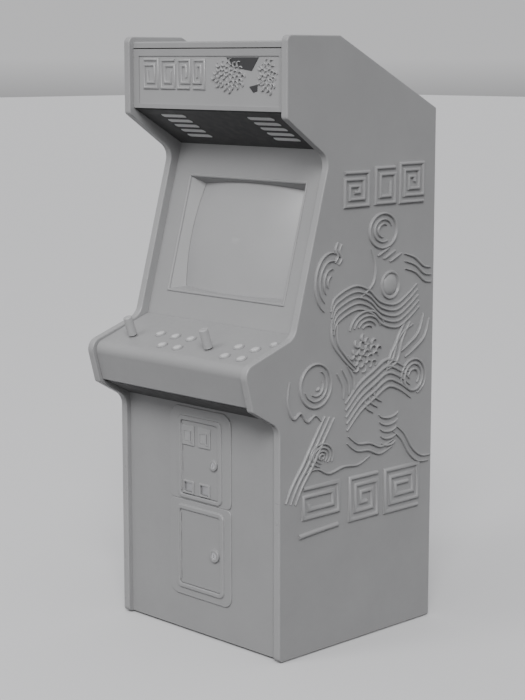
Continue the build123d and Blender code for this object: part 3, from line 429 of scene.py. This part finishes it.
def shade_wedge_pattern():
    """Dark wedges of painted shade between the two packed groups of the marquee."""
    mesh = ([], [])
    slab(mesh, [(104, 1664), (184, 1653), (212, 1690), (82, 1690)], 1.2)
    slab(mesh, [(190, 1594), (206, 1598), (206, 1616), (174, 1610)], 1.2)
    return mesh


def relief(name, pattern, place, slot, flip=False):
    """A mesh from a pattern, its own plane carried to the object by a matrix."""
    verts, faces = pattern
    data = bpy.data.meshes.new(name)
    data.from_pydata([tuple(c * MM for c in v) for v in verts], [],
                     [tuple(reversed(f)) if flip else f for f in faces])
    data.transform(place)
    data.update()
    for face in data.polygons:
        face.use_smooth = True
    piece = bpy.data.objects.new(name, data)
    bpy.context.scene.collection.objects.link(piece)
    split = piece.modifiers.new("corners", "EDGE_SPLIT")
    split.split_angle = math.radians(42)
    piece.data.materials.append(PAINTS[slot])
    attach(piece, "cabinet")
    return piece


def plane(origin, u, v):
    """Matrix from pattern coordinates to the object: u and v along the surface, then outwards."""
    u, v = Vector(u), Vector(v)
    w = u.cross(v)
    return Matrix(((u.x, v.x, w.x, origin[0]), (u.y, v.y, w.y, origin[1]),
                   (u.z, v.z, w.z, origin[2]), (0, 0, 0, 1)))


# ---- stage ----
def floor():
    data = bpy.data.meshes.new("floor")
    far = FLOOR_HALF
    data.from_pydata([(-far, -far, 0), (far, -far, 0), (far, far, 0), (-far, far, 0)], [], [(0, 1, 2, 3)])
    piece = bpy.data.objects.new("floor", data)
    bpy.context.scene.collection.objects.link(piece)
    piece.visible_diffuse = False           # little light comes back up from the floor
    material, surface, add, feed = shader("floor")
    feed(ramp(add, noise(add, 3.0), 0.3, 0.7, 0.75, 0.85), "Roughness")
    surface.inputs["Base Color"].default_value = PALE_FLOOR
    data.materials.append(material)


def area(name, spot, aim, size, power):
    light = bpy.data.lights.new(name, "AREA")
    light.shape, light.size, light.energy = "DISK", size, power
    lamp = bpy.data.objects.new(name, light)
    bpy.context.scene.collection.objects.link(lamp)
    lamp.location = spot
    lamp.rotation_euler = (Vector(aim) - Vector(spot)).to_track_quat("-Z", "Y").to_euler()


def sun():
    light = bpy.data.lights.new("sun", "SUN")
    light.energy, light.angle = 2.4, math.radians(24)
    lamp = bpy.data.objects.new("sun", light)
    bpy.context.scene.collection.objects.link(lamp)
    lamp.rotation_euler = Vector((-0.56, 0.57, -0.61)).to_track_quat("-Z", "Y").to_euler()


def sky():
    """A pale even sky above the horizon and almost none below."""
    world = bpy.data.worlds.new("studio")
    world.use_nodes = True
    nodes, links = world.node_tree.nodes, world.node_tree.links
    place = nodes.new("ShaderNodeTexCoord")
    axes = nodes.new("ShaderNodeSeparateXYZ")
    grade = nodes.new("ShaderNodeValToRGB")
    low, high = grade.color_ramp.elements
    low.position, low.color = 0.47, SKY_LOW
    high.position, high.color = 0.50, SKY_HIGH
    shift = nodes.new("ShaderNodeMapRange")
    shift.inputs[1].default_value, shift.inputs[2].default_value = -1.0, 1.0
    background = nodes["Background"]
    links.new(place.outputs["Generated"], axes.inputs[0])
    links.new(axes.outputs["Z"], shift.inputs[0])
    links.new(shift.outputs[0], grade.inputs[0])
    links.new(grade.outputs[0], background.inputs["Color"])
    background.inputs["Strength"].default_value = 1.0
    bpy.context.scene.world = world


def lights():
    area("front", (-1.2, -4.6, 4.6), (0, 0, 1.0), 2.2, 88)
    area("low", (1.6, -5.4, 1.1), (0, 0, 1.2), 2.0, 16)
    sun()
    sky()


def camera():
    data = bpy.data.cameras.new("camera")
    data.lens, data.sensor_width = LENS_MM, SENSOR_MM
    eye = bpy.data.objects.new("camera", data)
    bpy.context.scene.collection.objects.link(eye)
    eye.location = EYE
    eye.rotation_euler = (math.radians(90 - EYE_DOWN), 0, math.radians(EYE_TURN))
    bpy.context.scene.camera = eye


PAINTS = finishes()
dress_nodes(PAINTS)
RIGHT = plane((FACE_X, RELIEF_Y, 0), (0, 1, 0), (0, 0, 1))
LEFT = plane((-FACE_X, RELIEF_Y, 0), (0, 1, 0), (0, 0, 1)) @ Matrix.Diagonal((1, 1, -1, 1))
right = relief("side_relief_right", side_pattern(), RIGHT, "relief")
left = relief("side_relief_left", side_pattern(), LEFT, "relief", flip=True)
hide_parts("side_art")
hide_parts("side_art")
MARQUEE = plane((0, HEAD_Y, 0), (1, 0, 0), (0, 0, 1))
relief("marquee_relief", marquee_pattern(), MARQUEE, "marquee")
# near-black wedges: painted shade on the marquee
relief("marquee_painted_shade", shade_wedge_pattern(), MARQUEE, "switch")
floor()
lights()
camera()
